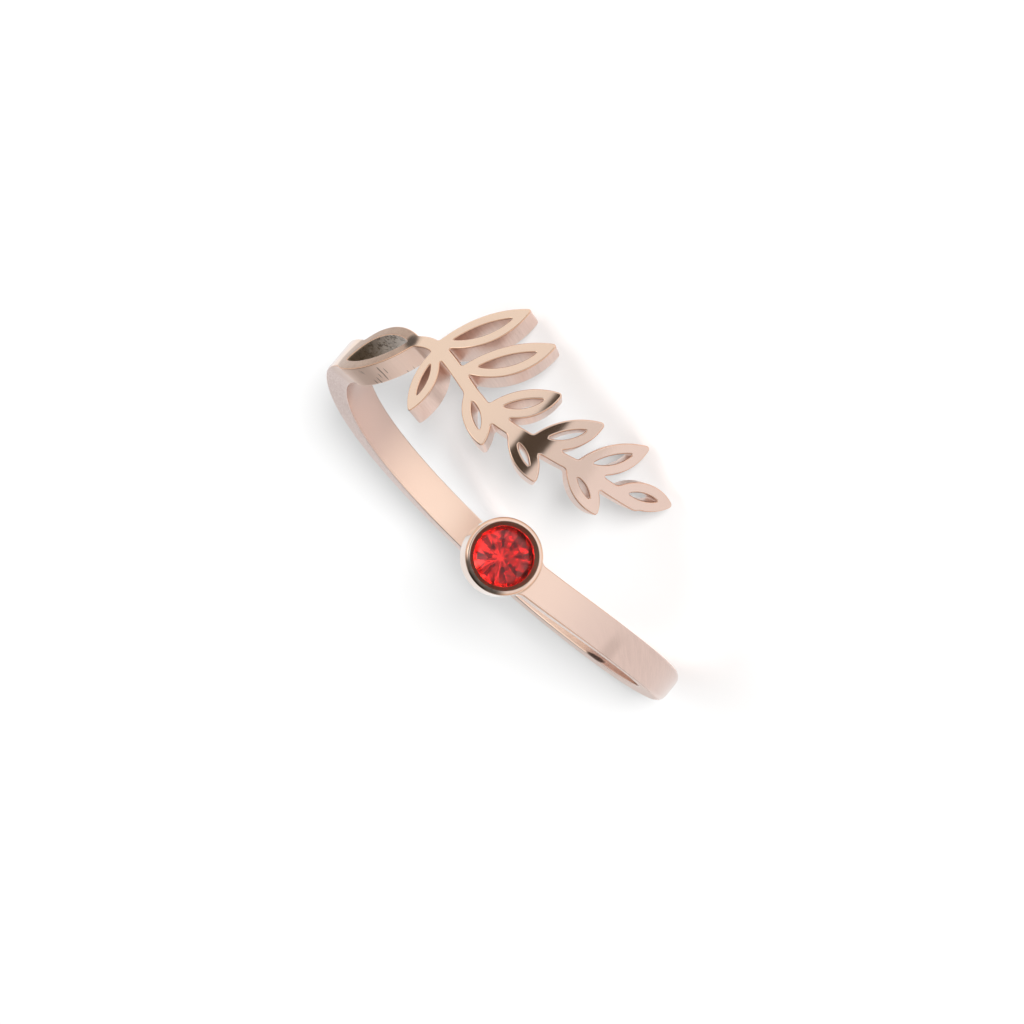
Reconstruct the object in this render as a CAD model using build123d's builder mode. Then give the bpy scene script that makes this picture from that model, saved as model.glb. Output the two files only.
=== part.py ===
from build123d import *
import os
from math import ceil, cos, degrees, hypot, pi, radians, sin, tan

# An open bypass finger ring in polished metal. It is cut from one flat sheet and bent round a
# mandrel, so every cut wall points at the ring's axis. One end of the band carries a round cup
# with a faceted stone. The other end opens into a pierced eye and runs on as a leafy sprig.
#
# The sheet is drawn flat first. "Along" runs round the outer face, positive to the right of the
# front, and "up" runs parallel to the ring's axis. Angles are seen from above, with 0 at the front.

# Ring and band
inner_diameter = 17.8
sheet = 1.15
band_width = 1.52
bypass = 3.5
band_start_up = -2.3

# Where the band begins, under the cup
cup_angle = 4.8

# Pierced eye between the band and the sprig. The band ends just past the eye's first corner, which
# lies a little below the middle of the band.
eye_along = -12.72
eye_drop = 0.36
band_past_corner = 0.53
eye_length = 3.92
eye_slope = 27.5
eye_rim = 0.47
eye_upper_bulge = 0.62
eye_lower_bulge = 0.56

# Sprig
sprig_length = 14.2
sprig_height = 6.6
stem_width = 0.56
leaf_rim = 0.43
leaf_tip_radius = 0.14

# Cup and stone
cup_diameter = 3.25
cup_rise = 0.42
cup_neck_fillet = 0.5
lip_round = 0.12
lip_bevel = 0.15
lip_overhang = 0.08
stone_diameter = 2.66
stone_girdle = 0.06
stone_crown = 0.38
stone_pavilion = 0.96
stone_table = 1.44
stone_proud = 0.06
stone_clearance = 0.04

# How far the cutting bodies reach past the sheet, inwards and outwards
overcut = 0.35
# Longest piece of outline that is bent as one arc
arc_step = 1.2
# Height of the tube that the bent sheet is cut from, more than the whole ring's
tube_height = 4 * sprig_height

inner_radius = inner_diameter / 2
outer_radius = inner_radius + sheet
band_end_angle = 360 + degrees((eye_along + band_past_corner) / outer_radius)
band_end_up = band_start_up + bypass

# Rise of the band round the finger: the angle, and the share of the bypass reached there
BAND_RISE = [
    (cup_angle, 0.0),
    (14, 0.02),
    (30, 0.097),
    (50, 0.214),
    (70, 0.326),
    (90, 0.417),
    (120, 0.514),
    (150, 0.586),
    (180, 0.657),
    (210, 0.749),
    (240, 0.863),
    (265, 0.966),
    (band_end_angle, 1.0),
]

# Leaves of the sprig. Each grows from a node of the stem. The node is given as shares of the
# sprig's length and height from its root, the leaf's reach as shares of the same two sizes from
# the node, and the bulge of each side as a share of the leaf's own length, left side first.
LEAVES = [
    ("tall_left", 0.085, 0.025, 0.2, 0.545, 0.1, 0.2),
    ("low_left", 0.1, 0.024, 0.078, -0.45, 0.22, 0.15),
    ("tall_right", 0.215, -0.03, 0.205, 0.51, 0.1, 0.2),
    ("low_middle", 0.28, -0.075, 0.16, -0.255, 0.24, 0.18),
    ("middle", 0.365, -0.125, 0.162, 0.375, 0.13, 0.23),
    ("low_right", 0.465, -0.13, 0.165, -0.17, 0.24, 0.18),
    ("slender", 0.53, -0.115, 0.148, 0.39, 0.13, 0.23),
    ("low_end", 0.66, -0.07, 0.172, -0.135, 0.24, 0.18),
    ("upright", 0.68, -0.06, 0.145, 0.41, 0.13, 0.23),
    ("end", 0.815, -0.02, 0.185, 0.19, 0.22, 0.18),
]
# Last point of the stem, past the last leaf's node, as shares of the sprig's sizes
STEM_END = (0.9, 0.015)


def ring_point(angle, radius, up):
    """A point of the ring, from its angle in degrees, its distance from the axis and its height."""
    turn = radians(angle)
    return Vector(radius * sin(turn), -radius * cos(turn), up)


def radial_plane(angle, radius, up=0.0):
    """A plane across a radius, whose X runs to the right along the ring and whose Y runs up."""
    turn = radians(angle)
    return Plane(
        origin=ring_point(angle, radius, up),
        x_dir=(cos(turn), sin(turn), 0),
        z_dir=(sin(turn), -cos(turn), 0),
    )


def eye_corners():
    """The two pointed ends of the eye's opening in the flat sheet."""
    turn = radians(eye_slope)
    start = Vector(eye_along, band_end_up - eye_drop)
    return start, start + Vector(eye_length * cos(turn), eye_length * sin(turn))


def sprig_point(along_share, up_share):
    """A point of the sprig in the flat sheet, from shares of its length and height."""
    root = eye_corners()[1] + Vector(eye_rim, eye_rim) * 0.5
    return root + Vector(along_share * sprig_length, up_share * sprig_height)


def two_arcs(start, end, left_bulge, right_bulge):
    """A pointed outline of two arcs, bulging to the left and the right of the way to its end."""
    SagittaArc(start, end, left_bulge)
    SagittaArc(end, start, right_bulge)


# The flat sheet past the band: the eye's rim, the stem and the leaves, with their openings
openings = []
eye_start, eye_end = eye_corners()
with BuildSketch() as eye_opening:
    with BuildLine():
        two_arcs(eye_start, eye_end, eye_upper_bulge, eye_lower_bulge)
    make_face()
openings.append(eye_opening.sketch.face())

leaf_faces = []
for name, node_along, node_up, reach_along, reach_up, left_share, right_share in LEAVES:
    node = sprig_point(node_along, node_up)
    tip = sprig_point(node_along + reach_along, node_up + reach_up)
    length = (tip - node).length
    with BuildSketch() as leaf:
        with BuildLine():
            two_arcs(node, tip, left_share * length, right_share * length)
        make_face()
        opening = offset(leaf.sketch, amount=-leaf_rim, mode=Mode.PRIVATE)
        fillet(leaf.vertices().sort_by_distance(tip)[0], leaf_tip_radius)
    leaf_faces.append(leaf.sketch)
    openings.append(opening.face())

with BuildSketch() as flat:
    add(offset(eye_opening.sketch, amount=eye_rim, mode=Mode.PRIVATE))
    with BuildLine() as stem:
        nodes = [eye_end] + [sprig_point(row[1], row[2]) for row in LEAVES] + [sprig_point(*STEM_END)]
        Spline(*nodes)
    trace(stem.line, stem_width)
    with Locations(nodes[-1]):
        Circle(stem_width / 2)
    add(leaf_faces)


# The stretch that is cut out of the sheet, and the angle at its middle, where the planes stand
flat_box = flat.sketch.bounding_box()
bend_angle = degrees((flat_box.min.X + flat_box.max.X) / 2 / outer_radius)
half_turn = (flat_box.max.X - flat_box.min.X) / 2 / outer_radius


def bent_outline(face, distance):
    """The face's outline, thrown from the ring's axis onto a flat plane at a distance from it."""

    def thrown(point):
        turn = point.X / outer_radius - radians(bend_angle)
        return Vector(distance * tan(turn), point.Y)

    with BuildSketch(radial_plane(bend_angle, distance)) as outline:
        with BuildLine():
            for edge in face.outer_wire().edges():
                count = ceil(edge.length / arc_step)
                for k in range(count):
                    places = [k / count, (k + 0.5) / count, (k + 1) / count]
                    ThreePointArc(*[thrown(edge @ place) for place in places])
        make_face()
    return outline.sketch.face()


def radial_body(face):
    """A body whose walls all point at the ring's axis, reaching past the sheet on both sides."""
    near = bent_outline(face, (inner_radius - overcut) * cos(half_turn))
    far = bent_outline(face, outer_radius + overcut)
    return loft([near, far], ruled=True)


# The tube that the bent sheet lies in
with BuildPart() as sheet_tube:
    Cylinder(outer_radius, tube_height)
    Cylinder(inner_radius, tube_height, mode=Mode.SUBTRACT)

cup_radius = cup_diameter / 2
cup_plane = radial_plane(cup_angle, outer_radius, band_start_up)
cup_axis = Axis(cup_plane.origin, cup_plane.z_dir)
cup_profile = Plane(cup_plane.origin, x_dir=cup_plane.x_dir, z_dir=-cup_plane.y_dir)

stone_radius = stone_diameter / 2
table_radius = stone_table / 2
girdle_top = cup_rise + stone_proud - stone_crown
girdle_bottom = girdle_top - stone_girdle
culet_level = girdle_bottom - stone_pavilion

with BuildPart() as ring:
    # Band, from under the cup round the finger into the eye, thicker than the sheet for now
    for angle, share in BAND_RISE:
        turn = radians(angle)
        centre = ring_point(angle, inner_radius + sheet / 2, band_start_up + share * bypass)
        radial = (sin(turn), -cos(turn), 0)
        with BuildSketch(Plane(centre, x_dir=radial, z_dir=(cos(turn), sin(turn), 0))):
            Rectangle(sheet + 2 * overcut, band_width)
    loft()

    # Round head under the cup, blended into both edges of the band
    with BuildSketch(radial_plane(cup_angle, inner_radius - 2 * overcut, band_start_up)):
        Circle(cup_radius)
    extrude(amount=sheet + 4 * overcut)
    across_sheet = ring.edges(Select.LAST).filter_by(
        lambda e: sheet < abs((e @ 1 - e @ 0).dot(cup_plane.z_dir)) < cup_diameter
    )
    fillet(across_sheet, cup_neck_fillet)

    # Eye, stem and leaves, then their openings
    add(radial_body(flat.sketch.face()))
    for opening in openings:
        add(radial_body(opening), mode=Mode.SUBTRACT)
    # Only what lies in the sheet is left
    add(sheet_tube.part, mode=Mode.INTERSECT)

    # Raised cup with a rounded outer lip
    with BuildSketch(cup_profile):
        with BuildLine():
            Polyline(
                (0, -sheet / 2),
                (cup_radius, -sheet / 2),
                (cup_radius, cup_rise),
                (0, cup_rise),
                close=True,
            )
        rim_face = make_face()
        fillet(rim_face.vertices().sort_by(Axis((0, 0, 0), cup_plane.x_dir + cup_plane.z_dir))[-1], lip_round)
    revolve(axis=cup_axis)

    # Seat that follows the stone, under an overhanging lip with a bevelled mouth
    seat_radius = stone_radius + stone_clearance
    mouth_radius = stone_radius - lip_overhang
    crown_slope = stone_crown / (stone_radius - table_radius)
    crown_gap = stone_clearance * hypot(1, crown_slope)
    pavilion_slope = stone_pavilion / stone_radius
    pavilion_gap = stone_clearance * hypot(1, pavilion_slope)
    with BuildSketch(cup_profile):
        with BuildLine():
            Polyline(
                (0, culet_level - pavilion_gap),
                (seat_radius, girdle_bottom + pavilion_slope * stone_clearance - pavilion_gap),
                (seat_radius, girdle_top - crown_slope * stone_clearance + crown_gap),
                (mouth_radius, girdle_top + crown_slope * lip_overhang + crown_gap),
                (mouth_radius, cup_rise - lip_bevel),
                (mouth_radius + lip_bevel, cup_rise),
                (mouth_radius + lip_bevel, cup_rise + overcut),
                (0, cup_rise + overcut),
                close=True,
            )
        make_face()
    revolve(axis=cup_axis, mode=Mode.SUBTRACT)


def polar(radius, turn, height):
    """A point of the stone, from its distance to the stone's axis, its turn and its height."""
    return Vector(radius * cos(turn), radius * sin(turn), height)


def facet(first, second, third):
    """The plane of a facet through three points, facing away from the stone's middle."""
    across = (second - first).cross(third - first)
    outward = across if across.dot(first - Vector(0, 0, middle_height)) > 0 else -across
    return Plane(first, z_dir=outward)


# Stone, a round brilliant cut, with its girdle's upper edge at height 0
middle_height = -stone_girdle / 2
eighth = pi / 4
star_radius = (table_radius + stone_radius) / 2
star_height = stone_crown * (stone_radius - star_radius * cos(eighth / 2)) / (stone_radius - table_radius)
lower_radius = stone_radius / 4
lower_rise = stone_pavilion * lower_radius * cos(eighth / 2) / stone_radius
culet_height = -stone_girdle - stone_pavilion

with BuildPart() as stone:
    with Locations((0, 0, culet_height)):
        Cylinder(stone_radius, stone_crown - culet_height, align=(Align.CENTER, Align.CENTER, Align.MIN))
    for k in range(8):
        turn = k * eighth
        left, right = turn - eighth / 2, turn + eighth / 2
        upper_edge = polar(stone_radius, turn, 0)
        lower_edge = polar(stone_radius, turn, -stone_girdle)
        table_corner = polar(table_radius, turn, stone_crown)
        next_corner = polar(table_radius, turn + eighth, stone_crown)
        culet = Vector(0, 0, culet_height)
        sideways = polar(1, turn + pi / 2, 0)
        planes = [
            facet(table_corner, upper_edge, upper_edge + sideways),
            facet(table_corner, next_corner, polar(star_radius, right, star_height)),
            facet(culet, lower_edge, lower_edge + sideways),
        ]
        for half in (left, right):
            star_tip = polar(star_radius, half, star_height)
            lower_tip = polar(lower_radius, half, culet_height + lower_rise)
            planes.append(facet(star_tip, upper_edge, polar(stone_radius, half, 0)))
            planes.append(facet(lower_tip, lower_edge, polar(stone_radius, half, -stone_girdle)))
        for plane in planes:
            split(bisect_by=plane, keep=Keep.BOTTOM)

# The ring lies on its side, on the tips of two leaves and the back of the band
REST_LEAVES = ("tall_left", "upright")
# Step between the places of the band's edge that are tried as the third foot, in degrees
foot_step = 3


def rest_feet():
    """The three points that the ring stands on: nothing else comes below their plane."""
    tips = []
    for name, node_along, node_up, reach_along, reach_up, *bulges in LEAVES:
        if name in REST_LEAVES:
            tip = sprig_point(node_along + reach_along, node_up + reach_up)
            angle = degrees(tip.X / outer_radius)
            tips.append([ring_point(angle, r, tip.Y) for r in (inner_radius, outer_radius)])
    edge = []
    for (angle, share), (next_angle, next_share) in zip(BAND_RISE, BAND_RISE[1:]):
        for k in range(ceil((next_angle - angle) / foot_step)):
            part_way = k * foot_step / (next_angle - angle)
            height = band_start_up + bypass * (share + part_way * (next_share - share)) + band_width / 2
            edge += [ring_point(angle + k * foot_step, r, height) for r in (inner_radius, outer_radius)]
    best = None
    for left in tips[0]:
        for right in tips[1]:
            for back in edge:
                normal = (right - left).cross(back - left).normalized()
                if normal.Z > 0:
                    normal = -normal
                lowest = min((point - left).dot(normal) for point in tips[0] + tips[1] + edge)
                if best is None or lowest > best[0]:
                    best = (lowest, left, normal)
    return best[1], best[2]


foot, floor_normal = rest_feet()
floor_plane = Plane(foot, x_dir=Vector(0, 1, 0).cross(floor_normal), z_dir=floor_normal)
stone_place = cup_plane.offset(girdle_top).location
rested = floor_plane.location.inverse()
lying_ring = rested * ring.part
lying_stone = rested * stone_place * stone.part
box = (lying_ring + lying_stone).bounding_box()
to_origin = Pos(-(box.min.X + box.max.X) / 2, -(box.min.Y + box.max.Y) / 2, -box.min.Z)


def finished(name, body):
    """Puts a piece in its place on the floor, names it and writes it."""
    placed = to_origin * body
    placed.label = name
    export_step(placed, f"parts/{name}.step")
    print(name, "is", round(placed.volume, 2), "cubic mm")


os.makedirs("parts", exist_ok=True)
finished("ring_band", lying_ring)
finished("round_stone", lying_stone)
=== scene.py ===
# %% [markdown]
# An open bypass ring in rose gold, made as the real one is made: a flat blank is cut from sheet metal, its
# edges are eased, it is bent round a mandrel, and a raised cup with a red stone sits on one end. The other
# end opens into a pierced eye and runs on as a leafy sprig. The packed model gives the size and the place
# of all of it, so the first cell loads that model as a fixed frame.

# %% Load the frame
from math import ceil, cos, degrees, hypot, pi, radians, sin, sqrt

import bmesh
import bpy
import numpy as np
from mathutils import Matrix, Vector
from mathutils.geometry import delaunay_2d_cdt


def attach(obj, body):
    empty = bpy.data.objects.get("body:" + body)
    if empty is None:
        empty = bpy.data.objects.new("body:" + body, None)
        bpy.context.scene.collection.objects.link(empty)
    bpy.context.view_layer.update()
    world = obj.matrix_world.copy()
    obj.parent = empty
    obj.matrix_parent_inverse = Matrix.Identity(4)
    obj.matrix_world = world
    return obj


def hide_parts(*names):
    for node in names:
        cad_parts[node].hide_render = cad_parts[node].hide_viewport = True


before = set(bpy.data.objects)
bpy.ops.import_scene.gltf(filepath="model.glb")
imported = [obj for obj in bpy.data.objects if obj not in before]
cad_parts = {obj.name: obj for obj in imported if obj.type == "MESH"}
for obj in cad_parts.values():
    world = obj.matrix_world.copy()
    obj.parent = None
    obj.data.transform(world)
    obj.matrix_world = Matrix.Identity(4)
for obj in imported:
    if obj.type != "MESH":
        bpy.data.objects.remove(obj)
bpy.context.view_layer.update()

print("nodes:", sorted(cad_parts))

# %% [markdown]
# All shapes are worked out in millimetres, as a goldsmith would write them down, and turned into metres
# once, when a mesh is made. The sizes below are those of the ring's construction.

# %% Sizes of the ring
MM = 0.001
inner_radius = 8.9
sheet = 1.15
outer_radius = inner_radius + sheet
band_width = 1.52
# How far the band climbs along the finger on its way round, and the height and angle at which it begins
bypass = 3.5
band_start_up = -2.3
cup_angle = 4.8

# The pierced eye, whose first corner lies a little below the middle of the band
eye_along = -12.72
eye_drop = 0.36
eye_up = band_start_up + bypass - eye_drop
eye_length = 3.92
eye_slope = 27.5
eye_rim = 0.47
eye_bulges = (0.62, 0.56)
band_past_corner = 0.53

sprig_length = 14.2
sprig_height = 6.6
stem_width = 0.56
leaf_rim = 0.43
leaf_tip_radius = 0.14

cup_radius = 1.625
cup_rise = 0.42
neck_fillet = 0.5
stone_radius = 1.33

# Length of the whole blank's way round the finger, measured on the outer face
full_turn = 2 * pi * outer_radius
print("one turn of the outer face:", round(full_turn, 2), "mm")

# %% [markdown]
# The blank is drawn flat first. "Along" is the way round the ring on its outer face and "up" is the way
# along the finger. A table gives the rise of the band and another gives the leaves, both as shares of the
# sizes above. A natural cubic spline joins the table's points smoothly, as a springy metal strip would.

# %% Tables of the flat blank
BAND_RISE = [
    # Angle round the finger in degrees, share of the climb
    (cup_angle, 0.0), (14, 0.02), (30, 0.097), (50, 0.214), (70, 0.326), (90, 0.417), (120, 0.514),
    (150, 0.586), (180, 0.657), (210, 0.749), (240, 0.863), (265, 0.966),
    (360 + degrees((eye_along + band_past_corner) / outer_radius), 1.0),
]
LEAVES = [
    # Name, node along and up, reach along and up, bulge of the left and the right side
    ("tall_left", 0.085, 0.025, 0.2, 0.545, 0.1, 0.2),
    ("low_left", 0.1, 0.024, 0.078, -0.45, 0.22, 0.15),
    ("tall_right", 0.215, -0.03, 0.205, 0.51, 0.1, 0.2),
    ("low_middle", 0.28, -0.075, 0.16, -0.255, 0.24, 0.18),
    ("middle", 0.365, -0.125, 0.162, 0.375, 0.13, 0.23),
    ("low_right", 0.465, -0.13, 0.165, -0.17, 0.24, 0.18),
    ("slender", 0.53, -0.115, 0.148, 0.39, 0.13, 0.23),
    ("low_end", 0.66, -0.07, 0.172, -0.135, 0.24, 0.18),
    ("upright", 0.68, -0.06, 0.145, 0.41, 0.13, 0.23),
    ("end", 0.815, -0.02, 0.185, 0.19, 0.22, 0.18),
]
STEM_END = (0.9, 0.015)
# Points on the stem's smooth line
stem_points = 80


def spline(knots, values):
    """A natural cubic spline through values at knots, as a function."""
    knots, values = np.asarray(knots, float), np.asarray(values, float)
    step, count = np.diff(knots), len(knots)
    matrix, right = np.eye(count), np.zeros(count)
    for k in range(1, count - 1):
        matrix[k, k - 1:k + 2] = step[k - 1], 2 * (step[k - 1] + step[k]), step[k]
        right[k] = 6 * ((values[k + 1] - values[k]) / step[k] - (values[k] - values[k - 1]) / step[k - 1])
    bend = np.linalg.solve(matrix, right)

    def at(x):
        k = np.clip(np.searchsorted(knots, x) - 1, 0, count - 2)
        a = (knots[k + 1] - x) / step[k]
        b = 1 - a
        curve = ((a ** 3 - a) * bend[k] + (b ** 3 - b) * bend[k + 1]) * step[k] ** 2 / 6
        return a * values[k] + b * values[k + 1] + curve

    return at


band_along = np.radians([row[0] for row in BAND_RISE]) * outer_radius
band_middle = spline(band_along, [band_start_up + bypass * row[1] for row in BAND_RISE])
cup_along, cup_up = band_along[0], band_start_up

eye_start = np.array([eye_along + full_turn, eye_up])
eye_end = eye_start + eye_length * np.array([cos(radians(eye_slope)), sin(radians(eye_slope))])
sprig_root = eye_end + eye_rim / 2


def sprig_point(along_share, up_share):
    """A point of the sprig from shares of its length and height."""
    return sprig_root + np.array([along_share * sprig_length, up_share * sprig_height])


stem_nodes = np.array([eye_end] + [sprig_point(*row[1:3]) for row in LEAVES] + [sprig_point(*STEM_END)])
stem_length = np.concatenate([[0], np.cumsum(np.hypot(*np.diff(stem_nodes, axis=0).T))])
stem_places = np.linspace(0, stem_length[-1], stem_points)
stem_line = np.stack([spline(stem_length, stem_nodes[:, k])(stem_places) for k in (0, 1)], axis=1)
print("stem:", round(stem_length[-1], 2), "mm through", len(stem_nodes), "nodes")

# %% [markdown]
# How is a pierced outline made without drawing every corner by hand? A signed distance does it: a function
# that says how far a point is from the edge, negative in the metal. Shapes are joined by taking the smaller
# distance, openings are cut by taking the larger, and a soft join leaves the small round in each crotch
# that a saw or a laser leaves. Outlines by Bezier handles were the other way, but they would have to be
# trimmed against each other by hand.


# %% Signed distances of the head and the band
def cup_frame(along, up):
    """Flat place to the place seen along the cup's axis, across and up from its middle."""
    turn = np.clip((along - cup_along) / outer_radius, -pi / 2, pi / 2)
    return outer_radius * np.sin(turn), up - cup_up


def disc(along, up):
    """Distance to the round head under the cup."""
    return np.hypot(*cup_frame(along, up)) - cup_radius


def band(along, up):
    """Distance to the band between the cup and the eye."""
    middle = band_middle(np.clip(along, band_along[0], band_along[-1]))
    return np.maximum(np.abs(up - middle) - band_width / 2,
                      np.maximum(band_along[0] - along, along - band_along[-1]))


print("the head's middle lies", round(float(-disc(cup_along, cup_up)), 3), "mm inside its edge")


# %% Signed distances of a leaf and a drawn line
def lens(along, up, start, end, bulges, inset=0.0):
    """Distance to a pointed leaf of two arcs from start to end, drawn in by an inset."""
    chord = end - start
    length = hypot(*chord)
    side = np.array([-chord[1], chord[0]]) / length
    full = [(length ** 2 / 4 + bulge ** 2) / (2 * bulge) for bulge in bulges]
    centres = [(start + end) / 2 + sign * side * (bulge - radius)
               for sign, bulge, radius in zip((1, -1), bulges, full)]
    radii = [radius - inset for radius in full]
    apart = centres[1] - centres[0]
    gap = hypot(*apart)
    way = (gap ** 2 + radii[0] ** 2 - radii[1] ** 2) / (2 * gap)
    across = sqrt(radii[0] ** 2 - way ** 2) * np.array([-apart[1], apart[0]]) / gap
    crossing = centres[0] + apart / gap * way
    nearest = np.minimum(*[np.hypot(along - corner[0], up - corner[1])
                           for corner in (crossing + across, crossing - across)])
    inside = np.ones(np.shape(along), bool)
    for k in (0, 1):
        own, other = centres[k], centres[1 - k]
        reach = np.hypot(along - own[0], up - own[1])
        foot = [own[n] + radii[k] * (place - own[n]) / reach for n, place in enumerate((along, up))]
        on_arc = np.hypot(foot[0] - other[0], foot[1] - other[1]) <= radii[1 - k]
        nearest = np.where(on_arc, np.minimum(nearest, np.abs(reach - radii[k])), nearest)
        inside &= reach < radii[k]
    return np.where(inside, -nearest, nearest)


def stroke(along, up, line, width):
    """Distance to a drawn line of the given width."""
    best = np.full(np.shape(along), np.inf)
    for (a, b), (c, d) in zip(line[:-1], line[1:]):
        share = np.clip(((along - a) * (c - a) + (up - b) * (d - b)) / ((c - a) ** 2 + (d - b) ** 2), 0, 1)
        best = np.minimum(best, np.hypot(along - a - share * (c - a), up - b - share * (d - b)))
    return best - width / 2


eye_depth = -lens(*(eye_start + eye_end) / 2, eye_start, eye_end, eye_bulges)
print("the eye's middle lies", round(float(eye_depth), 3), "mm inside its opening")


# %% Two ways to join shapes
# Over this distance a soft join blends two edges
crotch = 0.12


def soft_join(one, other, blend):
    """The union of two shapes with a soft crotch."""
    share = np.clip(0.5 + 0.5 * (other - one) / blend, 0, 1)
    return other * (1 - share) + one * share - blend * share * (1 - share)


def round_join(one, other, radius):
    """The union of two shapes with a round fillet of the given radius."""
    inside = np.maximum(radius, np.minimum(one, other))
    return inside - np.hypot(np.maximum(radius - one, 0), np.maximum(radius - other, 0))


print("a soft join fills a crotch by", round(float(-soft_join(0, 0, crotch)), 3), "mm where two edges meet")

# %% [markdown]
# The blank is one pattern of a round head, a band, an eye, a stem and leaves. All metal is joined first and
# the openings are cut last, so that no leaf closes its neighbour's opening. The table of leaves gives each
# one its place, so one loop draws them all. The pieces meet in small soft crotches, and the head runs into
# the band with a wider round, where a sharp notch would crack when the ring is sprung open.


# %% The whole pattern as one signed distance
def sprig(along, up):
    """Distance to the eye, the stem and the leaves, with their openings cut."""
    metal = lens(along, up, eye_start, eye_end, eye_bulges) - eye_rim
    metal = soft_join(metal, band(along, up), crotch)
    metal = soft_join(metal, stroke(along, up, stem_line, stem_width), crotch)
    openings = [lens(along, up, eye_start, eye_end, eye_bulges)]
    for name, node_along, node_up, reach_along, reach_up, *shares in LEAVES:
        start = sprig_point(node_along, node_up)
        end = sprig_point(node_along + reach_along, node_up + reach_up)
        bulges = [share * hypot(*(end - start)) for share in shares]
        leaf = lens(along, up, start, end, bulges, leaf_tip_radius) - leaf_tip_radius
        metal = soft_join(metal, leaf, crotch)
        openings.append(lens(along, up, start, end, bulges, leaf_rim))
    for opening in openings:
        metal = np.maximum(metal, -opening)
    return metal


def pattern(along, up):
    """Distance to the edge of the flat blank."""
    # Head and band meet at a wide angle, where this join makes a fillet of about twice its number
    metal = round_join(disc(along, up), band(along, up), neck_fillet / 2)
    last = along > band_along[-2]
    metal[last] = sprig(along[last], up[last])
    return metal


# The distance is worked out on a grid of this pitch, with this margin round the metal
pitch = 0.06
margin = 0.6
grid_along = np.arange(cup_along - cup_radius - margin, full_turn + sprig_length / 2, pitch)
grid_up = np.arange(band_start_up - cup_radius - margin, sprig_height + margin, pitch)
field = pattern(*np.meshgrid(grid_along, grid_up, indexing="ij"))
print("flat blank:", round((field < 0).sum() * pitch ** 2, 1), "square mm of sheet")

# %% [markdown]
# The edge is where the distance is zero. Marching squares walks the grid's cells and finds it, with the
# metal always on the left of the way. Each closed loop is then given evenly spaced points, and each point
# is pulled onto the true edge, so that the grid leaves no trace. Tracing a picture of the pattern would be
# shorter to write, but would keep the picture's steps.


# %% Rough loops, from the grid
def outlines(values, xs, ys):
    """Closed loops where values is zero, as arrays of points, with the negative side on the left."""
    inside = values < 0
    mixed = inside[:-1, :-1] ^ inside[1:, :-1] | inside[:-1, :-1] ^ inside[:-1, 1:]
    mixed |= inside[:-1, :-1] ^ inside[1:, 1:]
    onward, place = {}, {}
    for i, j in zip(*np.nonzero(mixed)):
        corners = [(i, j), (i + 1, j), (i + 1, j + 1), (i, j + 1)]
        edges = [(i, j, 0), (i + 1, j, 1), (i, j + 1, 0), (i, j, 1)]
        for k in range(4):
            if inside[corners[k]] and not inside[corners[(k + 1) % 4]]:
                back = k
                while inside[corners[back - 1]]:
                    back -= 1
                onward[edges[k]] = edges[back - 1]
                for edge in (k, back - 1):
                    one, two = corners[edge], corners[(edge + 1) % 4]
                    share = values[one] / (values[one] - values[two])
                    place[edges[edge]] = (xs[one[0]] + share * (xs[two[0]] - xs[one[0]]),
                                          ys[one[1]] + share * (ys[two[1]] - ys[one[1]]))
    loops = []
    while onward:
        edge, after = onward.popitem()
        loop = [place[edge]]
        while after in onward:
            loop.append(place[after])
            after = onward.pop(after)
        loops.append(np.array(loop))
    return loops


rough_loops = outlines(field, grid_along, grid_up)
print(len(rough_loops), "rough loops")

# %% Even loops, on the true edge
edge_step = 0.065
fewest_points = 12
pulls = 4
# In a soft crotch the distance grows more slowly, and this keeps a pull from overshooting there
least_slope = 0.5


def slope(points):
    """The direction in which the distance grows fastest, at flat points."""
    small = 0.004
    along, up = points.T
    grown = [pattern(along + small, up) - pattern(along - small, up),
             pattern(along, up + small) - pattern(along, up - small)]
    return np.stack(grown, axis=1) / (2 * small)


def even(loop, step):
    """A closed loop with evenly spaced points on the true edge."""
    closed = np.vstack([loop, loop[:1]])
    length = np.concatenate([[0], np.cumsum(np.hypot(*np.diff(closed, axis=0).T))])
    places = np.linspace(0, length[-1], max(fewest_points, round(length[-1] / step)), endpoint=False)
    points = np.stack([np.interp(places, length, closed[:, k]) for k in (0, 1)], axis=1)
    for _ in range(pulls):
        grow = slope(points)
        move = pattern(*points.T) / np.maximum((grow ** 2).sum(axis=1), least_slope ** 2)
        points -= np.clip(move, -pitch, pitch)[:, None] * grow
    return points


loops = [even(loop, edge_step) for loop in rough_loops]
loops.sort(key=len, reverse=True)
print(len(loops), "loops, of", [len(loop) for loop in loops], "points")

# %% [markdown]
# The blank's mesh has a face on each side, a rounded edge round each loop, and the cut wall between.
# Polishing rounds the edges of a real ring unevenly, here most at one side of the band. Near the cup the
# wall runs on up into the cup, so the rounding fades out there. Every ring of points is written in flat
# places with a third number, the height over the outer face, and with its normals. Rings that shrink to
# nothing are simply merged afterwards. A Bevel modifier could round the edges too, but not by another
# radius at each place.

# %% How round the edges are
edge_round = 0.07
# The roundest place of the outer face's edges, its angle, and the angle over which it fades to either side
worn_round = 0.42
worn_angle = radians(92)
worn_reach = radians(42)
round_steps = 4
# The rounding grows by this share of the distance from the cup, and below the least there is none
round_growth = 0.5
least_round = 2e-3


def edge_radius(along):
    """Radius of the outer face's edge: small all round, and larger on the side that is polished most."""
    share = 1 - np.clip(np.abs(along / outer_radius - worn_angle) / worn_reach, 0, 1)
    return edge_round + (worn_round - edge_round) * share * share * (3 - 2 * share)


print("edge radius at the band's quarters:", np.round(edge_radius(np.arange(1, 4) * full_turn / 4), 2), "mm")


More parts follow.
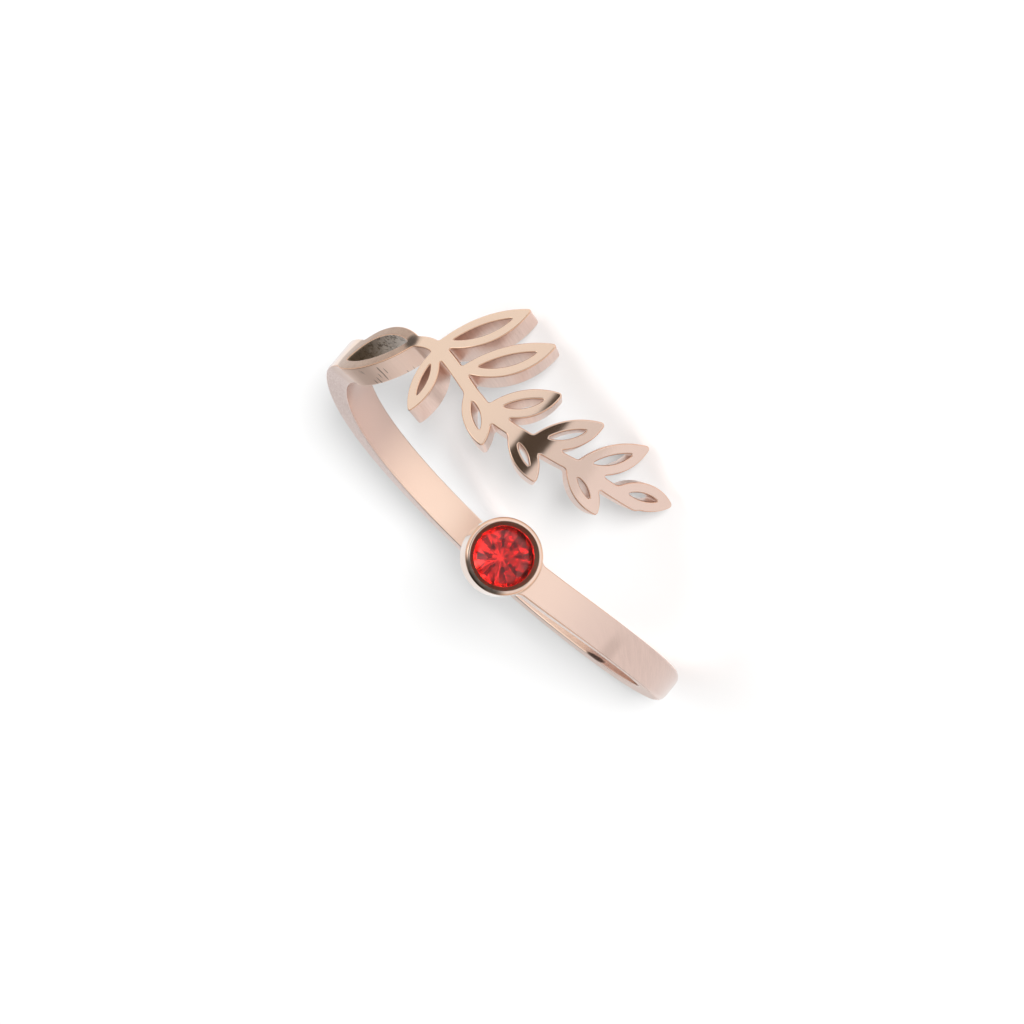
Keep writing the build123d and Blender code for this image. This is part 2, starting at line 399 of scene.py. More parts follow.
# %% Rings of points round each loop
def outward(loop):
    """Unit directions out of the metal, square to a loop."""
    way = np.roll(loop, -1, axis=0) - np.roll(loop, 1, axis=0)
    way /= np.hypot(*way.T)[:, None]
    return np.stack([way[:, 1], -way[:, 0]], axis=1)


def rounded_rings(loop, radii, level, towards):
    """Rings of a quarter round, from the face at a level to the wall, as rows of a place and a normal."""
    out = outward(loop)
    rings = []
    for k in range(round_steps + 1):
        turn = np.where(radii > 0, pi / 2 * k / round_steps, pi / 2)
        flat = loop - out * (radii * (1 - np.sin(turn)))[:, None]
        height = level + towards * radii * (1 - np.cos(turn))
        # Bending shortens the way along below the outer face, which turns the wall's normal a little
        wall = np.column_stack([out[:, 0] * outer_radius / (outer_radius + height), out[:, 1]])
        rings.append(np.column_stack([flat, height, wall * np.sin(turn)[:, None], -towards * np.cos(turn)]))
    return rings


def stand_upright(rows):
    """Makes the cut walls near the cup run along the cup's axis, as all others point at the ring's."""
    across, up = cup_frame(rows[:, 0], rows[:, 1])
    share = np.clip((cup_radius + neck_fillet - np.hypot(across, up)) / neck_fillet, 0, 1)
    share = share * share * (3 - 2 * share)
    upright = cup_along + outer_radius * np.arcsin(np.clip(across / (outer_radius + rows[:, 2]), -1, 1))
    moved = rows.copy()
    moved[:, 0] += share * (upright - rows[:, 0])
    moved[:, 5] += share * rows[:, 3] * across / outer_radius
    return moved


print("a rounded edge takes", round_steps + 1, "rings of points")

# %% Points and faces, as they are made
rows_of_points, faces = [], []


def add_points(block):
    """Adds rows of a place and a normal and returns the number of the first."""
    first = sum(len(rows) for rows in rows_of_points)
    rows_of_points.append(block)
    return first


def bridge(rings):
    """Adds closed rings of equal length, from the face down, and the quads between them."""
    firsts = [add_points(ring) for ring in rings]
    count = len(rings[0])
    for upper, lower in zip(firsts, firsts[1:]):
        for k in range(count):
            after = (k + 1) % count
            faces.append((upper + k, lower + k, lower + after, upper + after))
    return firsts


print("before the first ring:", len(rows_of_points), "blocks of points and", len(faces), "faces")

# %% Faces between the borders
# Pitch of the points inside a face, and how near two of its points are taken as one
fill_step = 0.28
same_place = 1e-6


def within(borders, places):
    """Which places have an odd number of borders round them."""
    odd = np.zeros(len(places), bool)
    for border in borders:
        for (a, b), (c, d) in zip(border, np.roll(border, -1, axis=0)):
            level = places[:, 1]
            crossed = (b > level) != (d > level)
            if crossed.any():
                odd[crossed] ^= places[crossed, 0] < a + (level[crossed] - b) / (d - b) * (c - a)
    return odd


def fill(borders, inside, height, side):
    """Triangles that fill flat borders, with a few points between them, on the side 1 or -1."""
    grid = np.stack(np.meshgrid(np.arange(grid_along[0], grid_along[-1], fill_step),
                                np.arange(grid_up[0], grid_up[-1], fill_step)), axis=-1).reshape(-1, 2)
    # The points inside keep clear of the borders, which lie an edge's rounding in from the edge
    grid = grid[inside(grid) < -2 * edge_round - fill_step / 4]
    places = np.vstack(borders + [grid])
    edges, first = [], 0
    for border in borders:
        count = len(border)
        edges += [(first + k, first + (k + 1) % count) for k in range(count)]
        first += count
    made = delaunay_2d_cdt([Vector(place) for place in places], edges, [], 0, same_place, False)
    corners = np.array([tuple(v) for v in made[0]])
    triangles = np.array([tuple(face) for face in made[2]])
    triangles = triangles[within(borders, corners[triangles].mean(axis=1))]
    level_rows = np.column_stack([corners, np.tile([height, 0, 0, side], (len(corners), 1))])
    first = add_points(stand_upright(level_rows))
    faces.extend(map(tuple, (triangles + first)[:, ::side].tolist()))
    return len(triangles), len(corners) - len(places)


print("points inside a face lie", fill_step, "mm apart")

# %% The walls and edges of the blank
# The longest loop starts with its run round the cup, set exactly on the cup's circle
main = loops[0]
circle_reach = 1e-3
on_circle = disc(*main.T) < circle_reach
run_start = int(np.nonzero(on_circle & ~np.roll(on_circle, 1))[0][0])
main = np.roll(main, -run_start, axis=0)
cup_turns = np.unwrap(np.arctan2(*cup_frame(*main[:on_circle.sum()].T)[::-1]))
gap_turn = 2 * pi - (cup_turns[-1] - cup_turns[0])
main[:len(cup_turns), 0] = cup_along + outer_radius * np.arcsin(cup_radius * np.cos(cup_turns) / outer_radius)
main[:len(cup_turns), 1] = cup_up + cup_radius * np.sin(cup_turns)
loops[0] = main
print("round the cup:", len(cup_turns), "points, open to the band over", round(degrees(gap_turn)), "degrees")

inner_border = []
outer_border = []
for loop in loops:
    beyond_cup = np.maximum(disc(*loop.T), 0)
    outer_radii = np.minimum(edge_radius(loop[:, 0]), round_growth * beyond_cup)
    outer_radii[outer_radii < least_round] = 0
    upper = rounded_rings(loop, outer_radii, 0.0, -1)
    lower = rounded_rings(loop, np.full(len(loop), edge_round), -sheet, 1)
    bridge([stand_upright(ring) for ring in upper + lower[::-1]])
    outer_border.append(upper[0][:, :2])
    inner_border.append(lower[0][:, :2])
print("rings:", sum(len(rows) for rows in rows_of_points), "points")

# %% [markdown]
# The cup is a turned piece: a profile spun round its own axis. Its foot follows the curved band, its lip is
# rounded over, and inside the lip a bevel leads down to the seat under the stone. The profile's corners are
# eased by small arcs, because a polished edge is never sharp and only a rounded one catches a line of
# light. A Screw modifier could spin the profile, but the foot has to follow the bent band.

# %% The cup's profile
lip_overhang = 0.08
stone_clearance = 0.04
lip_bevel = 0.19
mouth_radius = stone_radius - lip_overhang
seat_radius = stone_radius + stone_clearance
seat_bottom = -0.97
CUP_CORNERS = [
    # Distance from the cup's axis, height over the outer face, radius of the eased corner
    (cup_radius, cup_rise, 0.17),
    (mouth_radius + lip_bevel, cup_rise, 0.04),
    (mouth_radius, cup_rise - lip_bevel, 0.03),
    (mouth_radius, 0.17, 0.02),
    (seat_radius, 0.122, 0.02),
    (seat_radius, 0.02, 0.02),
]


def eased(corners, first, last, steps=6):
    """A profile with a small arc at each corner, as rows of a place and a normal, metal on the left."""
    path = [first] + [corner[:2] for corner in corners] + [last]
    rows = []
    for before, corner, after, radius in zip(path, path[1:], path[2:], [row[2] for row in corners]):
        corner = np.array(corner)
        one, two = before - corner, after - corner
        one, two = one / np.hypot(*one), two / np.hypot(*two)
        half = np.arccos(np.clip(one @ two, -1, 1)) / 2
        middle = (one + two) / np.hypot(*(one + two)) * radius / sin(half)
        bends_left = one[0] * two[1] - one[1] * two[0] < 0
        start = np.arctan2(*-middle[::-1])
        for k in range(steps + 1):
            turn = start + (pi / 2 - half) * (2 * k / steps - 1) * (1 if bends_left else -1)
            arm = np.array([cos(turn), sin(turn)])
            rows.append([*(corner + middle + radius * arm), *(arm if bends_left else -arm)])
    return rows


profile = eased(CUP_CORNERS, (cup_radius, -sheet), (0, seat_bottom))
print("cup profile:", len(profile), "rings, from", np.round(profile[0], 2), "to", np.round(profile[-1], 2))


# %% [markdown]
# Where the cup stands on the band, a goldsmith's solder leaves a small fillet round its foot. Round the
# open side there is no band to stand on, and the cup's wall and the sheet's are one. So the foot's ring
# takes up the points of the cut wall there, and closes the gap over the band with points of its own.

# %% The cup on the blank
solder_fillet = 0.09
# The fillet grows from nothing at the band's edge by this share of the distance
fillet_growth = 0.3


def cup_ring(turns, distance, height, away, over):
    """A ring round the cup's axis, with normals by their parts away from the axis and over the face."""
    across, up = distance * np.cos(turns), distance * np.sin(turns)
    lean = np.arctan2(across, outer_radius + height)
    normal = [away * np.cos(turns) * np.cos(lean) - over * np.sin(lean), away * np.sin(turns),
              away * np.cos(turns) * np.sin(lean) + over * np.cos(lean)]
    return np.column_stack([cup_along + outer_radius * lean, cup_up + up,
                            np.hypot(across, outer_radius + height) - outer_radius, *normal])


def face_height(turns, distance):
    """Height of the curved outer face at turns and a distance round the cup, against that on its axis."""
    return np.sqrt(outer_radius ** 2 - (distance * np.cos(turns)) ** 2) - outer_radius


gap_count = ceil(gap_turn * cup_radius / edge_step)
gap_turns = cup_turns[-1] + gap_turn * np.arange(1, gap_count) / gap_count
turns = np.concatenate([cup_turns, gap_turns])
foot_ring = cup_ring(turns, cup_radius, face_height(turns, cup_radius), 1, 0)
fillets = np.clip(-fillet_growth * pattern(*foot_ring[:, :2].T), 0, solder_fillet)
fillets[:len(cup_turns)] = 0
fillets[fillets < least_round] = 0

cup_rings = []
for k in range(round_steps + 1):
    turn = pi / 2 * k / round_steps
    distance = cup_radius + fillets * (1 - sin(turn))
    height = face_height(turns, distance) + fillets * (1 - cos(turn))
    tilt = np.where(fillets > 0, turn, pi / 2)
    ring_of_foot = cup_ring(turns, distance, height, np.sin(tilt), 0)
    ring_of_foot[:, 5] += np.cos(tilt)
    cup_rings.append(ring_of_foot)
cup_rings += [cup_ring(turns, *row) for row in profile]
firsts = bridge(cup_rings[::-1])
pole = add_points(cup_ring(np.zeros(1), 0, seat_bottom, 0, 1))
faces.extend((pole, firsts[0] + k, firsts[0] + (k + 1) % len(turns)) for k in range(len(turns)))
print("cup:", len(cup_rings), "rings of", len(turns), "points")


# %% The two faces
def inner_face(flat):
    """Distance to the edge of the face towards the finger, which runs on under the cup."""
    return pattern(*flat.T)


def outer_face(flat):
    """Distance to the edge of the outer face, drawn in where the edge is rounder, and open under the cup."""
    return np.maximum(pattern(*flat.T) + edge_radius(flat[:, 0]) - edge_round, -disc(*flat.T))


beside_cup = cup_rings[0][len(cup_turns):, :2][::-1]
outer_border[0] = np.vstack([outer_border[0][len(cup_turns) - 1:], outer_border[0][:1], beside_cup])
made = [fill(inner_border, inner_face, -sheet, -1), fill(outer_border, outer_face, 0.0, 1)]
print("triangles and extra points of the two faces:", made)

# %% [markdown]
# Now the flat blank becomes a mesh. Rings that shrank to nothing left points on top of each other, which
# are merged, and each point keeps the normal that it was made with as an attribute, to be bent with the
# blank. A second attribute tells the two flat faces from the rest, because their triangles need one
# straight normal.


# %% The flat mesh
def new_object(name, mesh):
    """An object at the origin that shows a mesh."""
    made = bpy.data.objects.new(name, mesh)
    bpy.context.scene.collection.objects.link(made)
    return made


rows = np.vstack(rows_of_points)
blank = bpy.data.meshes.new("ring_metal")
blank.from_pydata((rows[:, :3] * MM).tolist(), [], [tuple(map(int, face)) for face in faces])
flat_normal = blank.attributes.new("flat_normal", "FLOAT_VECTOR", "POINT")
flat_normal.data.foreach_set("vector", rows[:, 3:].ravel())
# The triangles of the two faces came last, the inner face's before the outer face's
sides = np.repeat([0, -1, 1], [len(faces) - made[0][0] - made[1][0], made[0][0], made[1][0]])
face_side = blank.attributes.new("face_side", "INT", "FACE")
face_side.data.foreach_set("value", sides)
print("as made:", len(blank.vertices), "points,", len(blank.polygons), "faces")

# %% Merge what lies on top of each other
same_point = 1e-4
no_length = 1e-5
work = bmesh.new()
work.from_mesh(blank)
bmesh.ops.remove_doubles(work, verts=work.verts, dist=same_point * MM)
bmesh.ops.dissolve_degenerate(work, edges=work.edges, dist=no_length * MM)
open_edges = sum(1 for edge in work.edges if len(edge.link_faces) != 2)
print("flat mesh:", len(work.verts), "points,", len(work.faces), "faces,", open_edges, "open edges")
work.to_mesh(blank)
work.free()
for face in blank.polygons:
    face.use_smooth = True
ring = new_object("ring_metal", blank)

# %% [markdown]
# An open ring that is put down rests on its side, on three feet: the tips of two leaves and the back of the
# band. The packed model lies that way, so its mesh is tipped. The two turns and the centre below bring an
# upright ring to that place, and every later step uses them, from the bending to the camera.

# %% How the ring lies
roll_over = radians(166.154)
tip_forward = radians(-12.637)
ring_centre = Vector((-0.0357, 0.4147, 3.6040)) * MM
lie = Matrix.Rotation(tip_forward, 3, "X") @ Matrix.Rotation(roll_over, 3, "Y")
lie_angles = lie.to_euler("XYZ")
print("ring's axis points to", [round(c, 3) for c in lie.col[2]])


# %% [markdown]
# A Geometry Nodes tree bends the blank round the mandrel. Bending by a rule is what nodes do well: each
# point's way along becomes an angle, its height over the outer face becomes part of the radius, and its way
# up stays. The same tree lays the ring on its side. A Simple Deform modifier could bend too, but it has no
# input for the mandrel's size. The small class below lets Python add and multiply sockets as if they were
# numbers.

# %% Sockets to reckon with
class Wire:
    """A socket of a node tree that Python can reckon with."""

    def __init__(self, tree, socket):
        self.tree, self.socket = tree, socket

    def reckon(self, operation, *values):
        """A Math node's result, from sockets and numbers."""
        node = self.tree.nodes.new("ShaderNodeMath")
        node.operation = operation
        for entry, value in zip(node.inputs, values):
            if isinstance(value, Wire):
                self.tree.links.new(value.socket, entry)
            else:
                entry.default_value = value
        return Wire(self.tree, node.outputs[0])

    def __add__(self, other):
        return self.reckon("ADD", self, other)

    def __radd__(self, other):
        return self.reckon("ADD", other, self)

    def __sub__(self, other):
        return self.reckon("SUBTRACT", self, other)

    def __rsub__(self, other):
        return self.reckon("SUBTRACT", other, self)

    def __mul__(self, other):
        return self.reckon("MULTIPLY", self, other)

    def __rmul__(self, other):
        return self.reckon("MULTIPLY", other, self)

    def __truediv__(self, other):
        return self.reckon("DIVIDE", self, other)

    def __rtruediv__(self, other):
        return self.reckon("DIVIDE", other, self)

    def __neg__(self):
        return self.reckon("MULTIPLY", self, -1.0)

    def __abs__(self):
        return self.reckon("ABSOLUTE", self)

    def __pow__(self, power):
        return self.reckon("POWER", self, power)

    def sin(self):
        return self.reckon("SINE", self)

    def cos(self):
        return self.reckon("COSINE", self)

    def turn_to(self, across):
        """The angle of a place that lies this far up and the given distance across."""
        return self.reckon("ARCTAN2", self, across)


print("a wire can also:", [name for name in vars(Wire) if not name.startswith("_")])


# %% The tree that bends and lays the blank
def new_tree(name, inputs):
    """A Geometry Nodes tree with named inputs, and its input and output nodes."""
    tree = bpy.data.node_groups.new(name, "GeometryNodeTree")
    tree.interface.new_socket("Geometry", in_out="INPUT", socket_type="NodeSocketGeometry")
    for title, kind in inputs:
        tree.interface.new_socket(title, in_out="INPUT", socket_type=kind)
    tree.interface.new_socket("Geometry", in_out="OUTPUT", socket_type="NodeSocketGeometry")
    return tree, tree.nodes.new("NodeGroupInput"), tree.nodes.new("NodeGroupOutput")


tree, given, result = new_tree("Bend round mandrel", [
    ("Mandrel Radius", "NodeSocketFloat"), ("Sheet", "NodeSocketFloat"),
    ("Ring Centre", "NodeSocketVector"), ("Lie Angles", "NodeSocketVector"), ("Finish", "NodeSocketMaterial"),
])
place = tree.nodes.new("GeometryNodeInputPosition")
split = tree.nodes.new("ShaderNodeSeparateXYZ")
tree.links.new(place.outputs[0], split.inputs[0])
along, up, height = (Wire(tree, socket) for socket in split.outputs)
outer = Wire(tree, given.outputs["Mandrel Radius"]) + Wire(tree, given.outputs["Sheet"])
angle = along / outer
radius = outer + height
bent = tree.nodes.new("ShaderNodeCombineXYZ")
for entry, value in zip(bent.inputs, (radius * angle.sin(), -(radius * angle.cos()), up)):
    tree.links.new(value.socket, entry)
moved = tree.nodes.new("GeometryNodeSetPosition")
turned = tree.nodes.new("FunctionNodeEulerToRotation")
laid = tree.nodes.new("GeometryNodeTransform")
realized = tree.nodes.new("GeometryNodeRealizeInstances")
finished = tree.nodes.new("GeometryNodeSetMaterial")
for source, target in [
    (given.outputs["Geometry"], moved.inputs["Geometry"]),
    (bent.outputs[0], moved.inputs["Position"]),
    (moved.outputs[0], laid.inputs["Geometry"]),
    (given.outputs["Lie Angles"], turned.inputs[0]),
    (turned.outputs[0], laid.inputs["Rotation"]),
    (given.outputs["Ring Centre"], laid.inputs["Translation"]),
    (laid.outputs[0], realized.inputs[0]),
    (realized.outputs[0], finished.inputs["Geometry"]),
    (given.outputs["Finish"], finished.inputs["Material"]),
    (finished.outputs[0], result.inputs[0]),
]:
    tree.links.new(source, target)
print("tree:", tree.name, "with", len(tree.nodes), "nodes")

# %% [markdown]
# Shader maths is easier to read as Python than as boxes and wires. The class below makes a material's
# nodes: numbers are reckoned with the Wire class from above, colours are mixed by Mix nodes, and every
# other node comes from one method that takes its type, its settings and its inputs. Drawing the nodes by
# hand would do as well, but nobody could read the finish afterwards.


# %% A helper for finishes
class Shader:
    """Makes and links the nodes of one shader tree."""

    def __init__(self, tree):
        self.tree = tree

    def node(self, kind, settings=None, inputs=None, output=0):
        """Adds a node by its type, its settings and its inputs, and returns one of its outputs."""
        made = self.tree.nodes.new(kind)
        for key, value in (settings or {}).items():
            setattr(made, key, value)
        for key, value in (inputs or {}).items():
            if isinstance(value, Wire):
                self.tree.links.new(value.socket, made.inputs[key])
            else:
                made.inputs[key].default_value = value
        return Wire(self.tree, made.outputs[output])

    def split(self, vector):
        """The three numbers of a vector."""
        made = self.tree.nodes.new("ShaderNodeSeparateXYZ")
        self.tree.links.new(vector.socket, made.inputs[0])
        return [Wire(self.tree, socket) for socket in made.outputs]

    def join(self, *parts):
        """A vector of three numbers."""
        return self.node("ShaderNodeCombineXYZ", {}, dict(enumerate(parts)))

    def step(self, value, low, high):
        """0 below low, 1 above high, smooth between."""
        return self.node("ShaderNodeMapRange", {"interpolation_type": "SMOOTHSTEP"},
                         {"Value": value, "From Min": low, "From Max": high})

    def noise(self, place, scale, detail=2.0, roughness=0.5):
        """Cloudy noise from 0 to 1, with so many patches to the unit."""
        return self.node("ShaderNodeTexNoise", {},
                         {"Vector": place, "Scale": scale, "Detail": detail, "Roughness": roughness})

    def mix(self, share, one, other):
        """A colour between two, by a share."""
        # With colours, a Mix node takes the share at input 0 and the colours at 6 and 7
        made = self.tree.nodes.new("ShaderNodeMix")
        made.data_type = "RGBA"
        for entry, value in zip((made.inputs[0], made.inputs[6], made.inputs[7]), (share, one, other)):
            if isinstance(value, Wire):
                self.tree.links.new(value.socket, entry)
            else:
                entry.default_value = value if isinstance(value, float) else (*value, 1.0)
        return Wire(self.tree, made.outputs[2])

    def bump(self, height, distance, strength=1.0, under=None):
        """A normal that follows a height, on top of another one if there is one under it."""
        inputs = {"Height": height, "Distance": distance, "Strength": strength}
        if under:
            inputs["Normal"] = under
        return self.node("ShaderNodeBump", {}, inputs)


class Finish(Shader):
    """A material in the making, with its Principled BSDF."""

    def __init__(self, name, **constants):
        self.material = bpy.data.materials.new(name)
        self.material.use_nodes = True
        super().__init__(self.material.node_tree)
        self.bsdf = self.tree.nodes["Principled BSDF"]
        for title, value in constants.items():
            self.bsdf.inputs[title.replace("_", " ")].default_value = value

    def feed(self, **sockets):
        """Links what varies to the shader's sockets and returns the material."""
        for title, wire in sockets.items():
            self.tree.links.new(wire.socket, self.bsdf.inputs[title.replace("_", " ")])
        return self.material


print("a shader can make:", [name for name in vars(Shader) if not name.startswith("_")])

# %% [markdown]
# Rose gold is copper and gold over a harder base, and its colour is all in its reflections, so it is a
# metal with a warm base colour and no diffuse part. Three surfaces differ on the real ring: the outer face
# is mirror-polished, the inner face is polished less, and the cut walls keep the fine radial lines of the
# cut. A mapping that undoes the ring's lie gives ring places, and from them the shader works out how far a
# surface faces away from the finger. That one number tells the three surfaces apart.

# %% Rose gold, and where each surface is
def ring_places(finish):
    """Places in mm on the upright ring, then the distance, height and turn about the cup's axis."""
    places = finish.node("ShaderNodeMapping", {"vector_type": "TEXTURE"}, {
        "Vector": finish.node("ShaderNodeTexCoord", output=3),
        "Location": ring_centre, "Rotation": lie_angles})
    x, y, z = finish.split(finish.node("ShaderNodeVectorMath", {"operation": "SCALE"},
                                       {0: places, "Scale": 1 / MM}))
    turn = radians(cup_angle)
    across, up = x * cos(turn) + y * sin(turn), z - cup_up
    cup_height = x * sin(turn) - y * cos(turn) - outer_radius
    return x, y, z, (across * across + up * up) ** 0.5, cup_height, up.turn_to(across)


rose = Finish("rose_gold", Metallic=1.0, IOR=1.5)
px, py, pz, cup_far, cup_height, cup_turn = ring_places(rose)
# The way along the outer face, from the front, and the distance from the ring's axis
along = px.turn_to(-py) * outer_radius
depth = (px * px + py * py) ** 0.5
facing = rose.node("ShaderNodeMapping", {"vector_type": "TEXTURE"}, {
    "Vector": rose.node("ShaderNodeNewGeometry", output=1), "Rotation": lie_angles})
nx, ny, _ = rose.split(facing)
# 1 where the surface faces away from the finger, 0 on the cut walls and -1 where it faces the finger
outside = (nx * px + ny * py) / depth
on_cup = 1 - rose.step(cup_far, cup_radius + 0.035, cup_radius + 0.095)
on_cup = on_cup * rose.step(cup_height, -sheet - 0.35, -sheet - 0.25)
on_wall = (1 - rose.step(abs(outside), 0.35, 0.9)) * (1 - on_cup)
on_inside = rose.step(-outside, 0.35, 0.9)
on_edge = rose.step(outside, 0.15, 0.6) * (1 - rose.step(outside, 0.8, 0.985))
print("where each surface is:", len(rose.tree.nodes), "nodes")

# %% Rose gold, the eye and the cup
# The eye's own frame, with its middle at 0 and its length along a
eye_turn = radians(eye_slope)
eye_middle = (eye_start + eye_end) / 2 - np.array([full_turn, 0])
eye_a = (along - eye_middle[0]) * cos(eye_turn) + (pz - eye_middle[1]) * sin(eye_turn)
eye_b = (pz - eye_middle[1]) * cos(eye_turn) - (along - eye_middle[0]) * sin(eye_turn)
# Half the length and half the width of two ovals, one just round the opening and one round the whole eye
opening_oval = (2.05, 0.68)
eye_oval = (2.75, 1.3)
eye_reach = (eye_a / opening_oval[0]) ** 2.0 + (eye_b / opening_oval[1]) ** 2.0
in_eye = (1 - rose.step(eye_reach, 0.97, 1.03)) * on_wall
round_eye = 1 - rose.step((eye_a / eye_oval[0]) ** 2.0 + (eye_b / eye_oval[1]) ** 2.0, 0.75, 1.05)

# The bevel within the cup's lip, down to the thin bright line over the stone, darkened by painted shade
bevel_radius = mouth_radius + lip_bevel
shaded_bevel = rose.step(cup_far, mouth_radius + 0.012, mouth_radius + 0.025)
shaded_bevel = shaded_bevel * (1 - rose.step(cup_far, bevel_radius - 0.005, bevel_radius + 0.01))
shaded_bevel = shaded_bevel * rose.step(cup_height, 0.1, 0.16)
# The cup's turned wall, darkened by painted shade, and the place beside its lip where a dark reflection is
# painted
cup_wall = on_cup * rose.step(cup_far, cup_radius - 0.045, cup_radius - 0.01)
cup_wall = cup_wall * (1 - rose.step(cup_height, cup_rise - 0.15, cup_rise - 0.08))
# A dark reflection is painted on one side beside the lip
lip_turn = radians(-97)
painted_lip_reflection = rose.step((cup_turn - lip_turn).cos(), 0.62, 0.86) * rose.step(cup_height, 0.2, 0.24)
painted_lip_reflection = painted_lip_reflection * rose.step(cup_far, bevel_radius - 0.02, bevel_radius + 0.01)
painted_lip_reflection = painted_lip_reflection * (1 - rose.step(cup_far, cup_radius - 0.025, cup_radius - 0.005))
print("with the eye and the cup:", len(rose.tree.nodes), "nodes")

# %% [markdown]
# The patterns follow from how each surface was worked. The outer face has faint lines from the polishing
# wheel, coarser where it is worn. The cut walls have lines across the sheet, so their noise is stretched
# along the depth, and a few deeper nicks. Tarnish stays where no wheel reaches, at the tip of the eye, and
# the wall of the eye's opening is darker at one end. Painted shade darkens the cup's bevel, and painted dark
# reflections lie beside its lip and in a short streak on the inner face. They are colour on the metal.

# %% Rose gold, its patterns
patches = rose.noise(rose.join(along, pz, depth), 0.35, 2.0)
grain = rose.noise(rose.join(along, pz, depth), 3.2, 4.0, 0.65)
speckle = rose.noise(rose.join(along, pz, depth), 6.0, 3.0, 0.7)
cut_lines = rose.noise(rose.join(along, pz, depth * 0.06), 9.0, 4.0, 0.65)
nicks = rose.step(rose.noise(rose.join(along, pz, depth * 0.15), 8.0, 1.0), 0.61, 0.67)
nicks = nicks * (1 - rose.step(abs(eye_a - 0.7), 0.9, 1.5))
polish_lines = rose.noise(rose.join(along * 0.5 + pz, (pz - along * 0.5) * 0.1, depth), 12.0, 3.0, 0.6)
# The two stretches over which the wear fades, right and left of the front
worn_right = (4.6, 8.6)
worn_left = (-15.2, -13.0)
worn = rose.step(along, *worn_right) + 1 - rose.step(along, *worn_left)
print("with the patterns:", len(rose.tree.nodes), "nodes")

# %% Rose gold, the outer face's colour
# Warmer on the left and pinker on the right, and brighter round the cup
outer_colour = rose.mix(rose.step(along, -5.0, 3.0), (0.81, 0.61, 0.475), (0.74, 0.56, 0.485))
outer_colour = rose.mix(1 - rose.step(cup_far, 2.0, 5.0), outer_colour, (0.84, 0.63, 0.53))
# Worn metal is duller and shows its polish lines, or is plain and greyer on the left
worn_colour = rose.mix(rose.step(polish_lines, 0.38, 0.64), (0.62, 0.465, 0.41), (0.665, 0.50, 0.44))
worn_colour = rose.mix(rose.step(-along, 13.0, 15.2), worn_colour, (0.60, 0.48, 0.46))
outer_colour = rose.mix(worn, outer_colour, worn_colour)
# A faint painted dark reflection across the lower half of the band, right of the cup
dark_band_along = 7.4
dark_reflection_band = (1 - rose.step(abs(along - dark_band_along), 0.1, 0.6)) * (1 - rose.step(pz, -1.9, -1.0))
outer_colour = rose.mix(dark_reflection_band * 0.35, outer_colour, (0.40, 0.29, 0.25))
print("with the outer face:", len(rose.tree.nodes), "nodes")

# %% Rose gold, the inner face's colour
# A painted highlight, brightest at the back of the ring, and a painted bright patch beside the dark streak
painted_highlight_angle = radians(190)
near_painted_highlight = (along / outer_radius - painted_highlight_angle).cos()
inner_colour = rose.mix(rose.step(near_painted_highlight, 0.76, 1.0), (0.65, 0.485, 0.425), (1.0, 0.75, 0.61))
bright_patch_beside_streak = rose.step(along, 22.8, 24.2) * (1 - rose.step(along, 26.0, 30.0))
inner_colour = rose.mix(bright_patch_beside_streak, inner_colour, (1.0, 0.78, 0.63))
# The painted dark reflection's middle, and half its length and width
reflection_streak_along, reflection_streak_up = 22.7, -1.07
reflection_streak_half = (0.85, 0.11)
dark_reflection_streak = ((along - reflection_streak_along) / reflection_streak_half[0]) ** 2.0 + ((pz - reflection_streak_up) / reflection_streak_half[1]) ** 2.0 + grain
# Painted dark reflection: a short dark streak on the inner face
inner_colour = rose.mix((1 - rose.step(dark_reflection_streak, 0.9, 1.6)) * 0.9, inner_colour, (0.05, 0.035, 0.03))
print("with the inner face:", len(rose.tree.nodes), "nodes")

# %% Rose gold, the walls' colour
# Lines of the cut everywhere, satin lines on the left and nicks round the eye; the walls on the left and
# round the eye are lighter and warmer, which is painted light
wall_colour = rose.mix(cut_lines, (0.68, 0.51, 0.44), (0.93, 0.74, 0.66))
lit_satin_wall = rose.mix(rose.step(polish_lines, 0.36, 0.66), (0.87, 0.70, 0.65), (1.0, 0.85, 0.80))
wall_colour = rose.mix(rose.step(-along, 14.0, 15.5), wall_colour, lit_satin_wall)
# Painted light: the walls round the eye are made lighter
wall_colour = rose.mix(round_eye * 0.7, wall_colour, (1.0, 0.77, 0.65))
wall_colour = rose.mix(nicks * round_eye * 0.7, wall_colour, (0.2, 0.14, 0.11))
# The wall of the eye's opening is dark at one end and bright at the other, with specks
hole_colour = rose.mix(rose.step(eye_a + grain * 1.6, -0.6, 1.6), (0.27, 0.22, 0.16), (0.85, 0.80, 0.75))
hole_colour = rose.mix(rose.step(speckle, 0.5, 0.62) * 0.75, hole_colour, (0.11, 0.09, 0.06))
print("with the walls:", len(rose.tree.nodes), "nodes")

# %% Rose gold, the colours laid over each other
tarnished_rim = (0.31, 0.21, 0.16)
tarnished_tip = (0.06, 0.045, 0.035)
edge_reflection_colour = (0.72, 0.38, 0.21)
shaded_cup_wall = (0.50, 0.34, 0.24)
bevel_shade_colour = (0.085, 0.075, 0.05)
lip_reflection_colour = (0.06, 0.05, 0.04)

colour = rose.mix(on_inside, outer_colour, inner_colour)
on_face = rose.step(outside, 0.7, 0.95)
colour = rose.mix(round_eye * on_face * (0.55 + 0.4 * grain), colour, tarnished_rim)
# The tip's middle in the eye's own frame
tip_a, tip_b = 2.2, -0.05
eye_tip = 1 - rose.step((eye_a - tip_a) ** 2.0 + (eye_b - tip_b) ** 2.0 + grain * 0.12, 0.06, 0.26)
colour = rose.mix(eye_tip * on_face * 0.9, colour, tarnished_tip)
colour = rose.mix(on_wall, colour, wall_colour)
